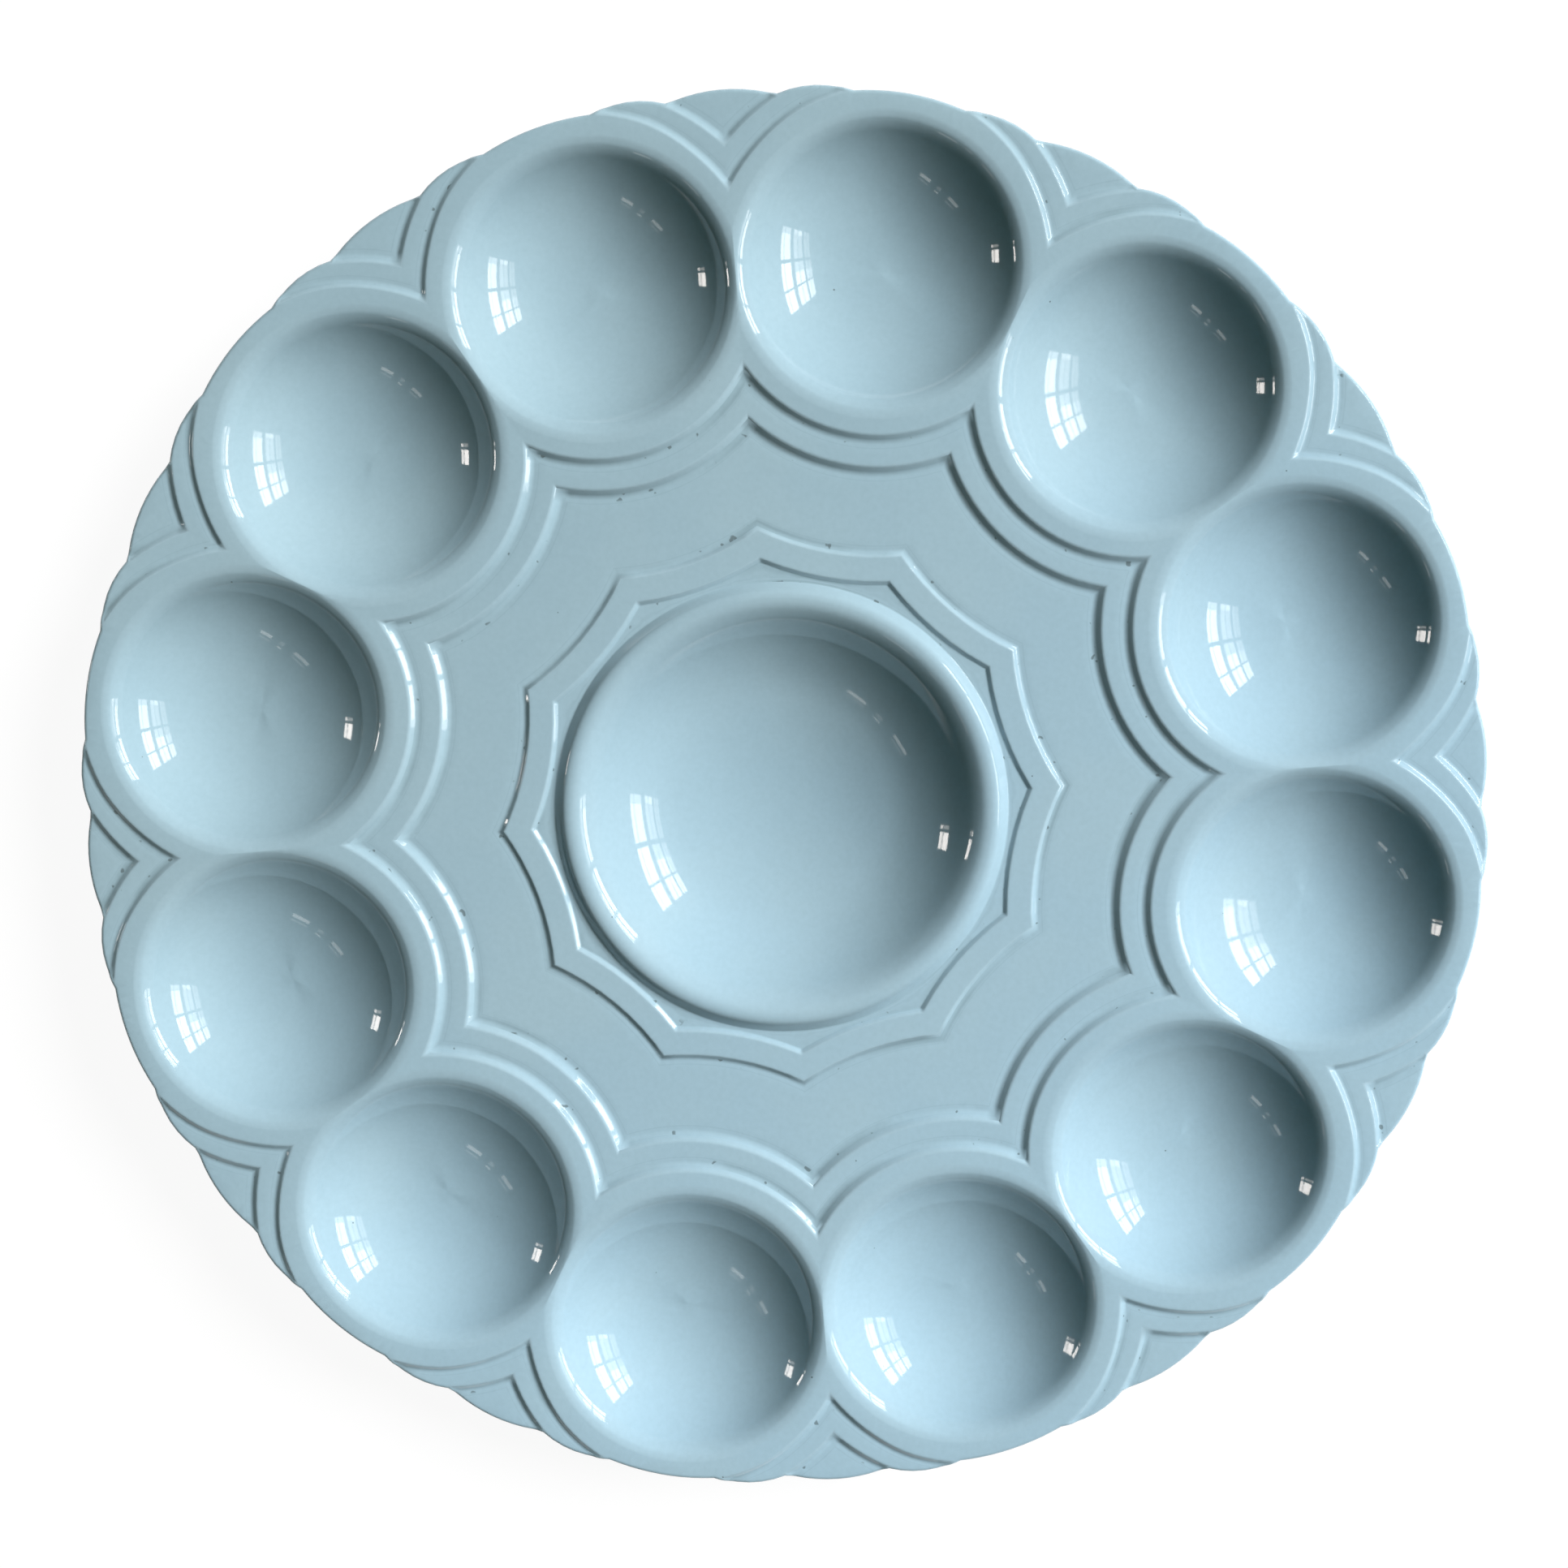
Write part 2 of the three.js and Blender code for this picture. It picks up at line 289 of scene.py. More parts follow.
def bowlRows(look, top):  # from the middle of a bowl to the top of its lip
    turns = []
    tilt = 0
    for radius, slope, steps in look["lip"] + look["bowl"]:
        turns.append((radius, tilt, slope))
        tilt = slope
    wall = look["top"] - arcSpan(*turns)[0]
    moves = [(radius, -slope, steps, pools["lip"]) for radius, slope, steps in look["lip"]]
    moves += [(None, wall, 1, 0)]
    moves += [(radius, -slope, steps, 0) for radius, slope, steps in look["bowl"]]
    # the bowl's value fades outwards from its middle and drives painted shade on the bowl's floor
    deep = pools["bowlReach"] * look["top"]
    rows = mirrored(look["top"] / 2, trace(0, top, moves))
    return [(x, z, pool + pools["bowl"] * (1 - ease(0, deep, x))) for x, z, pool in rows]


def rollRows(top, floor):  # from the crest of the sauce well's roll down to the moat
    start = sauce["rollEaseTilt"]
    tilt = sauce["rollTilt"]
    easeRows, turnRows, creaseRows = sauce["rows"]
    turns = ((sauce["rollEase"], 0, start), (sauce["roll"], start, tilt), (sauce["crease"], tilt, 0))
    face = (top - floor - arcSpan(*turns)[1]) / math.tan(math.radians(tilt))
    moves = [
        (sauce["rollEase"], -start, easeRows, pools["roll"]),
        (sauce["roll"], -tilt, turnRows, pools["roll"]),
        (None, face, 1, 0),
        (sauce["crease"], 0, creaseRows, pools["crease"]),
        (None, sauce["moat"], 1, 0),
    ]
    return trace(sauce["top"], top, moves)


def everything(bm):
    return bm.verts[:] + bm.edges[:] + bm.faces[:]


def spinRows(bm, rows, centre, columns, angle):
    pooling = bm.verts.layers.float["pooling"]
    line = []
    for x, z, pool in rows:
        vert = bm.verts.new((centre + x, 0, z))
        vert[pooling] = pool
        line.append(vert)
    edges = [bm.edges.new(pair) for pair in zip(line, line[1:])]
    bmesh.ops.spin(bm, geom=line + edges, cent=(centre, 0, 0), axis=(0, 0, 1), angle=angle, steps=columns,
                   use_merge=angle == math.tau)
    bmesh.ops.remove_doubles(bm, verts=bm.verts, dist=weld["merge"])


def repeatRound(bm):  # one well's share, repeated for the other wells
    bmesh.ops.spin(bm, geom=everything(bm), cent=(0, 0, 0), axis=(0, 0, 1), angle=math.tau - 2 * half,
                   steps=tray["wells"] - 1, use_duplicate=True)


def openEdges(bm, low, high, height=None):
    found = []
    for edge in bm.edges:
        middle = (edge.verts[0].co + edge.verts[1].co) / 2
        level = height is None or abs(middle.z - height) < weld["level"]
        if len(edge.link_faces) == 1 and low < middle.xy.length < high and level:
            found.append(edge)
    return found


# Plan of half a lobe group, from the middle of a well to the middle of the gap, inset by the rim's round
ringNotchAngle = math.asin(rim["ringChord"] / 2 / rimRadius)
ringNotch = polar(rimRadius - rim["ringNotch"], ringNotchAngle)
notchRadius = rimRadius - rim["terraceNotch"]
notchCosine = (wellCircle ** 2 + notchRadius ** 2 - terraceRadius ** 2) / (2 * wellCircle * notchRadius)
terraceNotchAngle = math.acos(notchCosine)
terraceNotch = polar(notchRadius, terraceNotchAngle)


def rimOutline():
    backNotch = Vector((ringNotch.x, -ringNotch.y, 0))
    farNotch = polar(notchRadius, 2 * half - terraceNotchAngle)
    terracePeak = polar(rimRadius - rim["terraceDrop"], (ringNotchAngle + terraceNotchAngle) / 2)
    steps = rim["lobeSteps"]
    ringArc = arcThrough(backNotch, polar(rimRadius, 0), ringNotch, steps)
    terraceArc = arcThrough(ringNotch, terracePeak, terraceNotch, rim["terraceSteps"])
    groundArc = arcThrough(terraceNotch, polar(rimRadius - rim["groundDrop"], half), farNotch, steps)
    points = ringArc[steps // 2:] + terraceArc[1:] + groundArc[1:steps // 2 + 1]
    return [point * (1 - rim["round"] / rimRadius) for point in points]


def rimFaces(bm, low, high):
    found = set()
    for face in bm.faces:
        middle = face.calc_center_median()
        if middle.xy.length > rimRadius - rim["reach"] and low < angleOf(middle) < high:
            found.update([face, *face.edges, *face.verts])
    return list(found)


def cutOutline(bm):
    outline = rimOutline()
    spans = list(zip(outline, outline[1:]))
    for point in outline[1:-1]:
        bmesh.ops.bisect_plane(bm, geom=rimFaces(bm, -half, 2 * half), dist=weld["cut"], plane_co=(0, 0, 0),
                               plane_no=(-point.y, point.x, 0))
    for a, b in spans:
        bmesh.ops.bisect_plane(bm, geom=rimFaces(bm, angleOf(a), angleOf(b)), dist=weld["cut"], plane_co=a,
                               plane_no=(b.y - a.y, a.x - b.x, 0))
    beyond = set()
    slack = 0.0001  # radians
    for vert in bm.verts:
        for a, b in spans:
            side = Vector((b.y - a.y, a.x - b.x, 0)).normalized()
            inSpan = angleOf(a) - slack < angleOf(vert.co) < angleOf(b) + slack
            if inSpan and side.dot(vert.co - a) > weld["merge"]:
                beyond.add(vert)
    bmesh.ops.delete(bm, geom=list(beyond), context='VERTS')


def spreadRing(bm):  # the ring land widens towards the rim, where its step runs into the first notch
    cusp = polar(outerCusp(ringRadius), half)
    centre = circleThrough(cusp, ringNotch, Vector((cusp.x, -cusp.y, 0)))
    spread = (ringNotch - centre).length
    shift = centre.x - wellCircle
    limit = angleOf(cusp - Vector((wellCircle, 0, 0)))
    stepReach = tray["stepReach"]
    landEnd = terraceRadius - rim["terraceMargin"]
    for vert in bm.verts:
        along = vert.co.x - wellCircle
        reach = math.hypot(along, vert.co.y)
        turn = math.atan2(vert.co.y, along)
        if turn > limit or not tray["top"] < reach < landEnd:
            continue
        wanted = shift * math.cos(turn) + math.sqrt(spread ** 2 - (shift * math.sin(turn)) ** 2)
        near = 1 - ease(rim["spreadFull"] * half, rim["spreadGone"] * half, angleOf(vert.co))
        inner = ease(tray["top"], ringRadius - stepReach, reach)
        band = inner * (1 - ease(ringRadius + stepReach, landEnd, reach))
        grown = 1 + (wanted - ringRadius) * near * band / reach
        vert.co.x = wellCircle + along * grown
        vert.co.y *= grown


def shapeSector(bm):  # the mouths sit a little outwards, and the steps near the rim are slighter
    landStart = ringRadius - tray["stepReach"]
    moves = ((ringRadius, rimward["ringOut"]), (terraceEdge, -rimward["terraceIn"]))
    full = math.radians(rimward["full"])
    gone = math.radians(rimward["gone"])
    for vert in bm.verts:
        along = vert.co.x - wellCircle
        reach = math.hypot(along, vert.co.y)
        outer = 1 - ease(full, gone, math.atan2(vert.co.y, along))
        if reach < landStart:
            inside = 1 - ease(tray["mouth"], landStart, reach)
            vert.co.z -= rimward["crown"] * outer * inside
            vert.co.z -= tray["bowlSkew"] * along * max(0, 1 - (reach / tray["mouth"]) ** 2)
            vert.co.x += tray["mouthShift"] * inside
            continue
        grown = 0
        for edge, move in moves:
            offset = reach - edge
            band = 1 - ease(rimward["stepBand"], rimward["landBand"], abs(offset))
            grown += outer * band * (move - rimward["narrow"] * offset)
        vert.co.x += along / reach * grown
        vert.co.y *= 1 + grown / reach
        vert.co.z += rimward["fade"] * outer * (ringTop - vert.co.z)


def reliefSector(bm):  # half of one well's share of the top, then mirrored and repeated round the tray
    starTop = fieldTop + tray["starRise"]
    stepForm = (tray["stepEdge"], tray["stepFoot"], tray["footSwell"])
    starForm = (tray["starEdge"], tray["starFoot"], tray["footSwell"])
    moatForm = (tray["starEdge"], tray["moatFoot"], 0)
    rows = bowlRows(tray, ringTop)
    rows += stepDown(ringRadius, ringTop - tray["crown"], terraceTop, *stepForm)
    rows += stepDown(terraceEdge, terraceTop, fieldTop, *stepForm)
    rows += [((terraceRadius + starOuter) / 2, fieldTop, 0)]
    rows += mirrored(starOuter, stepDown(starOuter, starTop, fieldTop, *starForm))
    rows += stepDown(starInner, starTop, fieldTop, *moatForm)[:-1]
    spinRows(bm, rows, wellCircle, tray["columns"], math.pi)
    shapeSector(bm)
    bmesh.ops.bisect_plane(bm, geom=everything(bm), dist=weld["cut"], plane_co=(0, 0, 0),
                           plane_no=(-math.sin(half), math.cos(half), 0), clear_outer=True)
    for vert in bm.verts:
        if abs(vert.co.y) < weld["merge"]:
            vert.co.y = 0
    spreadRing(bm)
    cutOutline(bm)
    bmesh.ops.mirror(bm, geom=everything(bm), matrix=Matrix.Identity(4), merge_dist=weld["merge"], axis='Y')
    repeatRound(bm)
    bmesh.ops.remove_doubles(bm, verts=bm.verts, dist=weld["sectors"])


def sauceBowl(bm):
    rows = bowlRows(sauce, sauceTop) + rollRows(sauceTop, fieldTop)[1:]
    spinRows(bm, rows, 0, sauce["columns"], math.tau)


def roundRim(bm):
    def drawOut(loop, out, drop, floor=None):
        made = bmesh.ops.extrude_edge_only(bm, edges=loop)["geom"]
        for vert in [item for item in made if isinstance(item, bmesh.types.BMVert)]:
            radial = polar(1, angleOf(vert.co))
            vert.co += radial * out
            vert.co.z = vert.co.z - drop if floor is None else floor
        return [item for item in made if isinstance(item, bmesh.types.BMEdge)
                and all(len(vert.link_faces) == 2 for vert in item.verts)]

    loop = openEdges(bm, rimRadius - rim["reach"], math.inf)
    turn = math.pi / 2 / rim["rows"]
    for i in range(rim["rows"]):
        out = rim["round"] * (math.sin(turn * (i + 1)) - math.sin(turn * i))
        drop = rim["round"] * (math.cos(turn * i) - math.cos(turn * (i + 1)))
        loop = drawOut(loop, out, drop)
    loop = drawOut(loop, 0, 0, underside + under["round"])
    for i in range(rim["rows"]):
        out = under["round"] * (math.cos(turn * (i + 1)) - math.cos(turn * i))
        drop = under["round"] * (math.sin(turn * (i + 1)) - math.sin(turn * i))
        loop = drawOut(loop, out, drop)


def domeRows(outer, bottom, fillet):
    centre = bottom + outer
    reach = outer + fillet
    lean = math.degrees(math.acos((centre - underside + fillet) / reach))
    rows = arcRow(0, centre, outer, -90, lean - 90, under["rows"])
    edge = reach * math.sin(math.radians(lean))
    return rows + arcRow(edge, underside - fillet, fillet, 90 + lean, 90, under["filletRows"])[1:]


def wellDomes(bm):
    bottom = bowlRows(tray, ringTop)[0][1] - under["wall"]
    rows = domeRows(under["wellDome"], bottom, under["fillet"])
    spinRows(bm, rows, wellCircle, under["columns"], math.tau)
    repeatRound(bm)


def sauceDome(bm):
    bottom = bowlRows(sauce, sauceTop)[0][1] - under["wall"]
    rows = domeRows(under["sauceDome"], bottom, under["sauceFillet"])
    spinRows(bm, rows, 0, sauce["columns"] // 2, math.tau)


def uneven(bm):
    for vert in bm.verts:
        at = vert.co.copy()
        plan = at / wobble["planSize"]
        sway = Vector((noise.noise(plan), noise.noise(plan + Vector(wobble["apart"])), 0))
        vert.co += sway * wobble["plan"]
        vert.co.z += noise.noise(at / wobble["riseSize"]) * wobble["rise"]


def newMesh():
    bm = bmesh.new()
    bm.verts.layers.float.new("pooling")
    return bm


def joined(*parts):
    bm = newMesh()
    for part in parts:
        mesh = bpy.data.meshes.new("part")
        part.to_mesh(mesh)
        part.free()
        bm.from_mesh(mesh)
        bpy.data.meshes.remove(mesh)
    return bm


def finishPiece(bm, name, material, body, nodes):
    bmesh.ops.remove_doubles(bm, verts=bm.verts, dist=weld["merge"])
    bmesh.ops.dissolve_degenerate(bm, edges=bm.edges, dist=weld["sliver"])
    bmesh.ops.recalc_face_normals(bm, faces=bm.faces)
    loose = [edge for edge in bm.edges if len(edge.link_faces) != 2]
    bmesh.ops.scale(bm, vec=(mm, mm, mm), verts=bm.verts)
    for face in bm.faces:
        face.smooth = True
    mesh = bpy.data.meshes.new(name)
    bm.to_mesh(mesh)
    bm.free()
    mesh.materials.append(material)
    piece = bpy.data.objects.new(name, mesh)
    scene.collection.objects.link(piece)
    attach(piece, body)
    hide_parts(*nodes)
    mesh.calc_loop_triangles()
    print(name, len(mesh.loop_triangles), "triangles,", len(loose), "edges not closed")


class Wire:  # a socket in a shader tree, or the tree alone
    def __init__(self, tree, socket=None):
        self.tree = tree
        self.socket = socket

    def node(self, kind, settings=None, sockets=None, out=0):
        made = self.tree.nodes.new(kind)
        for key, value in (settings or {}).items():
            setattr(made, key, value)
        for key, value in (sockets or {}).items():
            if isinstance(value, Wire):
                self.tree.links.new(value.socket, made.inputs[key])
            else:
                made.inputs[key].default_value = value
        return Wire(self.tree, made.outputs[out]) if len(made.outputs) else made

    def maths(self, operation, *values):
        return self.node("ShaderNodeMath", {"operation": operation}, dict(enumerate(values)))

    def __add__(self, other):
        return self.maths("ADD", self, other)

    def __radd__(self, other):
        return self.maths("ADD", other, self)

    def __sub__(self, other):
        return self.maths("SUBTRACT", self, other)

    def __rsub__(self, other):
        return self.maths("SUBTRACT", other, self)

    def __mul__(self, other):
        return self.maths("MULTIPLY", self, other)

    def __rmul__(self, other):
        return self.maths("MULTIPLY", other, self)

    def between(self, low, high):  # 0 below low, 1 above high, eased between
        return self.node("ShaderNodeMapRange", {"interpolation_type": 'SMOOTHSTEP', "clamp": True},
                         {"Value": self, "From Min": low, "From Max": high})

    def grain(self, where, scale, detail=2.0):
        return self.node("ShaderNodeTexNoise", {"noise_dimensions": '3D'},
                         {"Vector": where, "Scale": scale, "Detail": detail, "Roughness": 0.5})

    def tint(self, share, low, high):
        return self.node("ShaderNodeMix", {"data_type": 'RGBA'}, {0: share, 6: low, 7: high}, 2)


def linear(red, green, blue):  # a colour as it is read off a screen, 0 to 255
    def channel(value):
        value /= 255
        return value / 12.92 if value < 0.04045 else ((value + 0.055) / 1.055) ** 2.4
    return (channel(red), channel(green), channel(blue), 1)


def newMaterial(name):
    material = bpy.data.materials.new(name)
    material.use_nodes = True
    material.node_tree.nodes.clear()
    return material, Wire(material.node_tree)


glazeLook = {
    "colour": linear(160, 188, 202),  # on the foot ring
    "paintedShadeColour": linear(157, 184, 196),  # painted light: across the tray the glaze is painted from this darker, greyer colour to a lighter, bluer one, standing in for light that is stronger on that side
    "paintedLightColour": linear(167, 198, 215),
    "paintedLightDrift": (0.8, -0.6),  # direction of the painted light gradient, and half the distance in metres
    "paintedLightReach": 0.14,
    "cloudScale": 26,  # scales of patterns are per metre
    "haze": linear(176, 200, 208),
    "hazeRange": (0.35, 0.75),  # a range is where a pattern starts to show and where it shows fully
    "hazeShare": 0.22,
    "thin": linear(178, 202, 214),
    "thinShare": 0.2,
    # dark glaze where it pools in creases; also the colour of the painted shade in the bowls
    "pooled": linear(92, 116, 124),
    "pooledRange": (0.2, 1),
    "patchRange": (0.5, 0.7),
    "pooledShare": 0.3,
    # painted shade on the bowls' floors, where some glaze also pools
    "bowlShadeRange": (0, 0.2),
    "creaseRange": (0.25, 0.5),
    "bowlShadeShare": 0.09,
    "fineScale": 700,
    "fineShare": 0.16,
    "fineBase": 0.04,
    "speck": linear(70, 78, 76),
    "tickScale": 420,
    "tickPools": (0.4, 1),
    "tickRange": (0.7, 0.75),
    "tickShare": 0.6,
    "pinholeScale": 110,
    "pinholePick": (0.72, 0.74),
    "pinholeRange": (0.018, 0.034),
    "pinholeShare": 0.75,
    "roughness": 0.045,
    "dullRange": (0.5, 0.8),
    "dullRough": 0.03,
    "pinholeRough": 0.3,
    "rippleScale": 90,
    "ripple": 0.02,
    "pinholeDepth": 0.2,
    "bumpStrength": 0.25,
    "bumpDistance": 0.0008,
    "ior": 1.6,
}


def glazeMaterial(look):
    material, shade = newMaterial("paleBlueGlaze")
    where = shade.node("ShaderNodeTexCoord", out="Object")
    pooling = shade.node("ShaderNodeAttribute", {"attribute_name": "pooling"}, out="Fac")
    cloud = shade.grain(where, look["cloudScale"], detail=3)
    fine = shade.grain(where, look["fineScale"])
    alongX = shade.node("ShaderNodeSeparateXYZ", None, {"Vector": where}, "X")
    alongY = shade.node("ShaderNodeSeparateXYZ", None, {"Vector": where}, "Y")
    # painted light: the glaze is lighter and bluer towards one side of the tray
    paintedLightDrift = alongX * look["paintedLightDrift"][0] + alongY * look["paintedLightDrift"][1]
    colour = shade.tint(paintedLightDrift.between(-look["paintedLightReach"], look["paintedLightReach"]),
                        look["paintedShadeColour"], look["paintedLightColour"])
    colour = shade.tint(cloud.between(*look["hazeRange"]) * look["hazeShare"], colour, look["haze"])
    thin = (0 - pooling).between(0, 1) * look["thinShare"]
    colour = shade.tint(thin, colour, look["thin"])
    patches = cloud.between(*look["patchRange"])
    pooled = pooling.between(*look["pooledRange"]) * patches * look["pooledShare"]
    colour = shade.tint(pooled, colour, look["pooled"])
    # painted shade: the bowls' floors are darkened towards the pooled glaze colour, besides the glaze that
    # pools there
    shallow = 1 - pooling.between(*look["creaseRange"])
    deep = pooling.between(*look["bowlShadeRange"]) * shallow * look["bowlShadeShare"]
    colour = shade.tint(deep, colour, look["pooled"])
    grit = shade.grain(where, look["tickScale"], detail=1).between(*look["tickRange"])
    ticks = pooling.between(*look["tickPools"]) * grit
    colour = shade.tint(ticks * look["tickShare"], colour, look["speck"])
    spread = {"Vector": where, "Scale": look["pinholeScale"]}
    cells = shade.node("ShaderNodeTexVoronoi", {"feature": 'F1'}, spread)
    pick = shade.node("ShaderNodeTexVoronoi", {"feature": 'F1'}, spread, "Color")
    chosen = shade.node("ShaderNodeSeparateColor", None, {"Color": pick}).between(*look["pinholePick"])
    pinhole = (1 - cells.between(*look["pinholeRange"])) * chosen
    colour = shade.tint(pinhole * look["pinholeShare"], colour, look["speck"])
    colour = shade.tint((fine - 0.5) * look["fineShare"] + look["fineBase"], colour, look["pooled"])
    dull = cloud.between(*look["dullRange"])
    roughness = look["roughness"] + dull * look["dullRough"] + pinhole * look["pinholeRough"]
    ripple = shade.grain(where, look["rippleScale"], detail=1) * look["ripple"]
    height = ripple - pinhole * look["pinholeDepth"]
    normal = shade.node("ShaderNodeBump", None, {
        "Height": height, "Strength": look["bumpStrength"], "Distance": look["bumpDistance"]})
    surface = shade.node("ShaderNodeBsdfPrincipled", None, {
        "Base Color": colour, "Roughness": roughness, "Normal": normal, "IOR": look["ior"]})
    shade.node("ShaderNodeOutputMaterial", None, {"Surface": surface})
    return material


clayLook = {
    "colour": linear(207, 195, 174),
    "fired": linear(188, 168, 140),
    "firedScale": 60,
    "firedRange": (0.3, 0.75),
    "speck": linear(120, 98, 78),
    "speckScale": 900,
    "speckRange": (0.62, 0.72),
    "speckShare": 0.6,
    "glazeRuns": 0.0045,  # height in metres above which the ring is glazed
    "runScale": 45,
    "runSwing": 0.002,
    "runFade": 0.0006,
    "roughness": 0.86,
    "glazeHeight": 0.8,
    "bumpStrength": 0.4,
    "bumpDistance": 0.0003,
}


def clayMaterial(look, glaze):
    material, shade = newMaterial("bareClay")
    where = shade.node("ShaderNodeTexCoord", out="Object")
    height = shade.node("ShaderNodeSeparateXYZ", None, {"Vector": where}, "Z")
    body = shade.grain(where, look["firedScale"], detail=4)
    grit = shade.grain(where, look["speckScale"], detail=3)
    colour = shade.tint(body.between(*look["firedRange"]), look["colour"], look["fired"])
    colour = shade.tint(grit.between(*look["speckRange"]) * look["speckShare"], colour, look["speck"])
    swing = look["runSwing"]
    edge = height + shade.grain(where, look["runScale"], detail=3) * swing - swing / 2
    glazed = edge.between(look["glazeRuns"], look["glazeRuns"] + look["runFade"])
    colour = shade.tint(glazed, colour, glaze["colour"])
    roughness = look["roughness"] - glazed * (look["roughness"] - glaze["roughness"])
    relief = grit * (1 - glazed) + glazed * look["glazeHeight"]
    normal = shade.node("ShaderNodeBump", None, {
        "Height": relief, "Strength": look["bumpStrength"], "Distance": look["bumpDistance"]})
    surface = shade.node("ShaderNodeBsdfPrincipled", None, {
        "Base Color": colour, "Roughness": roughness, "Normal": normal, "IOR": glaze["ior"]})
    shade.node("ShaderNodeOutputMaterial", None, {"Surface": surface})
    return material


glaze = glazeMaterial(glazeLook)
clay = clayMaterial(clayLook, glazeLook)
print("materials ready")

relief = newMesh()
reliefSector(relief)
bowl = newMesh()
sauceBowl(bowl)
bm = joined(relief, bowl)
moatEdges = openEdges(bm, sauce["top"], wellCircle / 2)
bmesh.ops.triangle_fill(bm, use_beauty=True, use_dissolve=False, edges=moatEdges)
roundRim(bm)
domes = newMesh()
wellDomes(domes)
middleDome = newMesh()
sauceDome(middleDome)
bm = joined(bm, domes, middleDome)
flatEdges = openEdges(bm, 0, rimRadius, underside)
bmesh.ops.triangle_fill(bm, use_beauty=True, use_dissolve=False, edges=flatEdges)
uneven(bm)
glazedNodes = [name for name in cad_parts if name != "foot_ring"]
finishPiece(bm, "glazedTray", glaze, "root", glazedNodes)

# Foot ring
foot = {
    "topWidth": 11.0,
    "baseWidth": 6.5,
    "edge": 1.2,  # radius beside the base
    "edgeRows": 5,
    "flare": 2.5,  # height of the curve into the underside, and how far it runs out past the top's width
    "flareOut": 0.6,
    "flareRows": 4,
    "columns": 160,
}


def footRows():
    middle = footReach - foot["topWidth"] / 2
    baseHalf = foot["baseWidth"] / 2
    topHalf = foot["topWidth"] / 2
    taper = math.degrees(math.atan2(topHalf - baseHalf, underside - foot["edge"]))
    edge = foot["edge"]
    outer = arcRow(middle + baseHalf - edge, edge, edge, -90, -taper, foot["edgeRows"])
    rise = underside - foot["flare"]
    lean = (topHalf - baseHalf) * rise / underside
    outer += [(middle + baseHalf + lean, rise, 0)]
    for i in range(1, foot["flareRows"] + 1):
        turn = math.radians(90 * i / foot["flareRows"])
        out = topHalf - baseHalf - lean + foot["flareOut"]
        x = middle + baseHalf + lean + out * (1 - math.cos(turn))
        outer.append((x, rise + foot["flare"] * math.sin(turn), 0))
    return mirrored(middle, outer) + [(middle, 0, 0)] + outer


bm = newMesh()
spinRows(bm, footRows(), 0, foot["columns"], math.tau)
bmesh.ops.bridge_loops(bm, edges=openEdges(bm, 0, rimRadius, underside))
finishPiece(bm, "footRing", clay, "root", ["foot_ring"])

# Floor
floorLook = {
    "size": 6.0,  # metres
    "colour": (0.86, 0.86, 0.86, 1),  # as it throws light back on the tray
    "seenColour": (0.085, 0.085, 0.085, 1),  # as it is seen: faint, for the shadow, and lifted to pale
    "seenLift": (0.937, 0.937, 0.937, 1),
}


def makeFloor(look):
    bm = bmesh.new()
    bmesh.ops.create_grid(bm, x_segments=1, y_segments=1, size=look["size"])
    mesh = bpy.data.meshes.new("floor")
    bm.to_mesh(mesh)
    bm.free()
    material, shade = newMaterial("paleFloor")
    ray = shade.node("ShaderNodeLightPath", out="Is Camera Ray")
    gloss = shade.node("ShaderNodeLightPath", out="Is Glossy Ray")
    through = shade.node("ShaderNodeLightPath", out="Is Transmission Ray")
    seen = ray + gloss + through
    lift = shade.tint(seen, (0, 0, 0, 1), look["seenLift"])
    colour = shade.tint(seen, look["colour"], look["seenColour"])
    surface = shade.node("ShaderNodeBsdfPrincipled", None, {
        "Base Color": colour, "Roughness": 1.0, "Specular IOR Level": 0.0,
        "Emission Color": lift, "Emission Strength": 1.0})
    shade.node("ShaderNodeOutputMaterial", None, {"Surface": surface})
    mesh.materials.append(material)
    floor = bpy.data.objects.new("floor", mesh)
    scene.collection.objects.link(floor)


makeFloor(floorLook)

# Camera, as the photograph was taken: nearly straight above
camera = {
    "lens": 49.295,
    "sensor": 36,
    "nearest": 0.01,  # metres
    "tilt": 6.356,
    "lean": -1.207,
    "turn": -10.212,
    "place": (0.737, 6.343, 550.0),  # from the middle of the field, along the camera's own axes
}


def makeCamera(look):
    turned = (Matrix.Rotation(math.radians(look["tilt"]), 3, 'X')
              @ Matrix.Rotation(math.radians(look["lean"]), 3, 'Y')
              @ Matrix.Rotation(math.radians(look["turn"]), 3, 'Z'))
    back = turned.transposed()
    place = (back @ Vector(look["place"]) + Vector((0, 0, fieldTop))) * mm
    data = bpy.data.cameras.new("camera")
    data.lens = look["lens"]
    data.sensor_width = look["sensor"]
    data.clip_start = look["nearest"]
    made = bpy.data.objects.new("camera", data)
    made.matrix_world = Matrix.Translation(place) @ back.to_4x4()
    scene.collection.objects.link(made)
    scene.camera = made


makeCamera(camera)

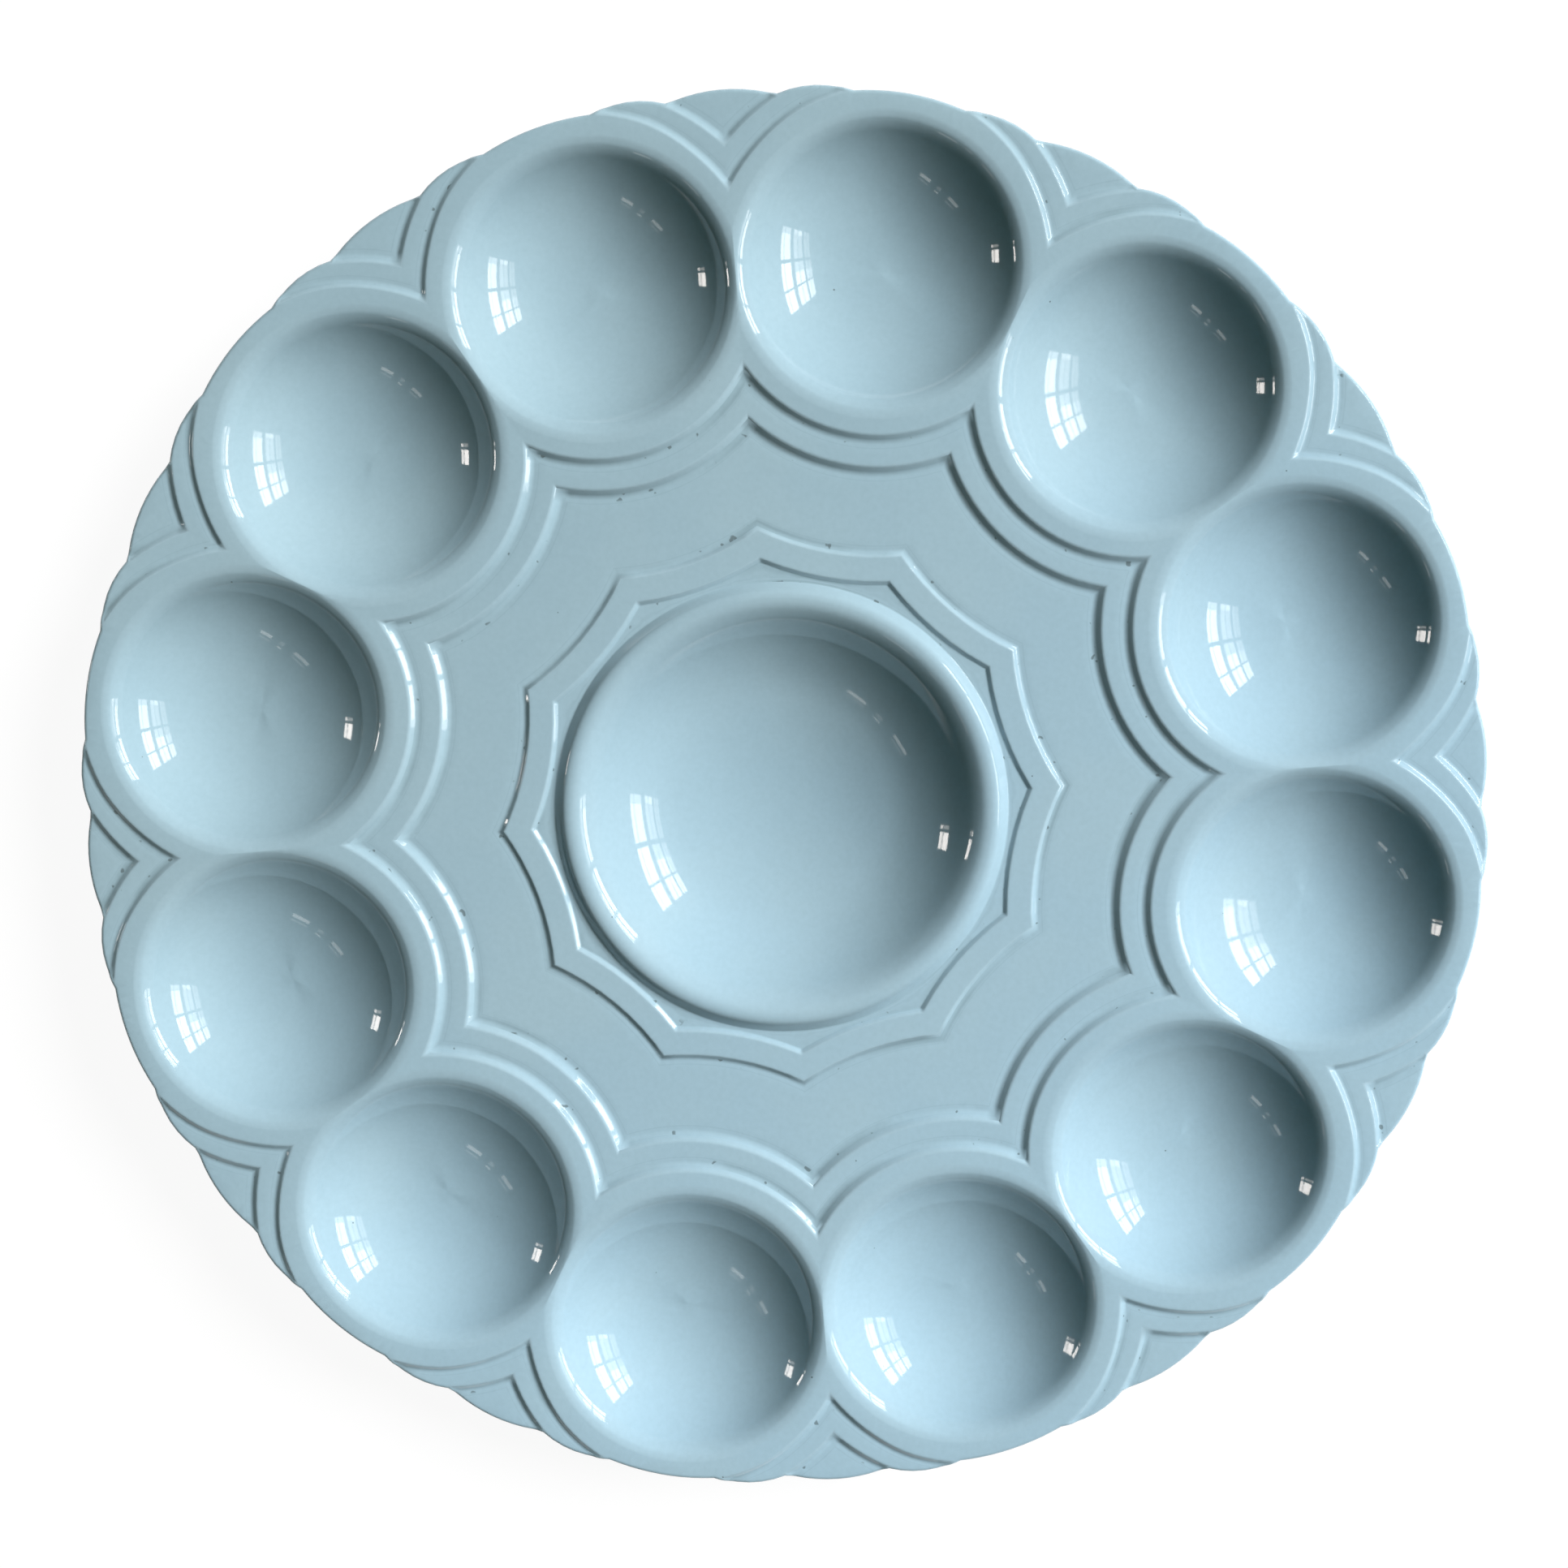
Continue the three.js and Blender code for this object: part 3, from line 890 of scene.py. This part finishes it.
# Light: soft daylight from the upper right, with windows and faint lamps that only the glaze shows
daylight = {"azimuth": 37.0, "elevation": 38.0, "away": 16000.0, "size": 7680.0, "radiance": 23.7}
window = {
    "azimuth": 23.0,
    "away": 6000.0,
    "columns": ((-0.46, -0.385), (-0.38, -0.075), (-0.035, 0.09), (0.09, 0.227), (0.25, 0.445)),
    "rows": ((0.485, 0.53), (0.538, 0.638), (0.7, 0.775), (0.785, 0.87), (0.912, 0.96), (0.968, 1.04)),
    "radiance": (
        (4.0, 8.0, 10.0, 10.0, 10.0), (4.0, 8.0, 10.0, 10.0, 10.0), (5.0, 3.4, 4.0, 9.0, 9.0),
        (6.0, 3.0, 3.6, 9.0, 9.0), (2.5, 2.4, 2.6, 5.0, 8.0), (2.0, 2.0, 2.2, 4.0, 7.0),
    ),
    "colour": (1.0, 1.0, 1.0),
}
farWindow = {
    "azimuth": 185.5,
    "away": 6000.0,
    "columns": ((-0.055, 0.055), (0.075, 0.1)),
    "rows": ((0.225, 0.285), (0.292, 0.325)),
    "radiance": ((13.0, 3.0), (12.0, 8.0)),
    "colour": (1.0, 0.93, 0.88),
}
lamps = {
    "azimuth": 236.0,
    "away": 6000.0,
    "columns": ((-0.3, -0.14), (-0.02, 0.04), (0.14, 0.3)),
    "rows": ((0.62, 0.68), (0.72, 0.75)),
    "radiance": ((2.0, 0.9, 2.6), (0.9, 2.2, 1.0)),
    "colour": (1.0, 0.97, 0.94),
}


def around(azimuth, elevation, away):
    flat = away * math.cos(math.radians(elevation))
    return polar(flat, math.radians(azimuth)) + Vector((0, 0, away * math.sin(math.radians(elevation))))


def areaLight(name, place, target, across, upright, radiance):
    data = bpy.data.lights.new(name, 'AREA')
    data.shape = 'RECTANGLE'
    data.size = across * mm
    data.size_y = upright * mm
    data.energy = radiance * math.pi * across * upright * mm * mm
    made = bpy.data.objects.new(name, data)
    aim = (target - place).to_track_quat('-Z', 'Y')
    made.matrix_world = Matrix.Translation(place * mm) @ aim.to_matrix().to_4x4()
    scene.collection.objects.link(made)
    return made


def panedWindow(name, look):  # panes placed by their share of the window's distance
    turn = Matrix.Rotation(math.radians(look["azimuth"]), 3, 'Z')
    away = look["away"]
    for (low, high), levels in zip(look["rows"], look["radiance"]):
        for (left, right), level in zip(look["columns"], levels):
            middle = Vector((1, (left + right) / 2, (low + high) / 2)) * away
            facing = Vector((0, middle.y, middle.z))
            pane = areaLight(f"{name}{left}{low}", turn @ middle, turn @ facing, (right - left) * away,
                             (high - low) * away, level)
            pane.data.color = look["colour"]
            pane.visible_diffuse = False


sunward = around(daylight["azimuth"], daylight["elevation"], daylight["away"])
across = daylight["size"]
soft = areaLight("daylight", sunward, Vector((0, 0, 0)), across, across, daylight["radiance"])
soft.data.shape = 'DISK'
soft.visible_glossy = False
panedWindow("pane", window)
panedWindow("farPane", farWindow)
panedWindow("lamp", lamps)

# Room: pale all round as far as it is seen, and dim where the glaze looks up into it, above the pale walls
room = {"dim": (0.014, 0.021, 0.003, 1), "pale": (1, 1, 1, 1), "wallTop": 0.03, "wallFade": 0.04}
world = bpy.data.worlds.new("room")
world.use_nodes = True
world.node_tree.nodes.clear()
sky = Wire(world.node_tree)
camRay = sky.node("ShaderNodeLightPath", out="Is Camera Ray")
through = sky.node("ShaderNodeLightPath", out="Is Transmission Ray")
gloss = sky.node("ShaderNodeLightPath", out="Is Glossy Ray")
direction = sky.node("ShaderNodeTexCoord", out="Generated")
upward = sky.node("ShaderNodeSeparateXYZ", None, {"Vector": direction}, "Z")
aboveWalls = upward.between(room["wallTop"], room["wallTop"] + room["wallFade"])
seen = camRay + through + gloss * (1 - aboveWalls)
roomColour = sky.tint(seen, room["dim"], room["pale"])
background = sky.node("ShaderNodeBackground", None, {"Color": roomColour})
sky.node("ShaderNodeOutputWorld", None, {"Surface": background})
scene.world = world
scene.view_settings.view_transform = 'Standard'
print("stage, camera and lights ready")
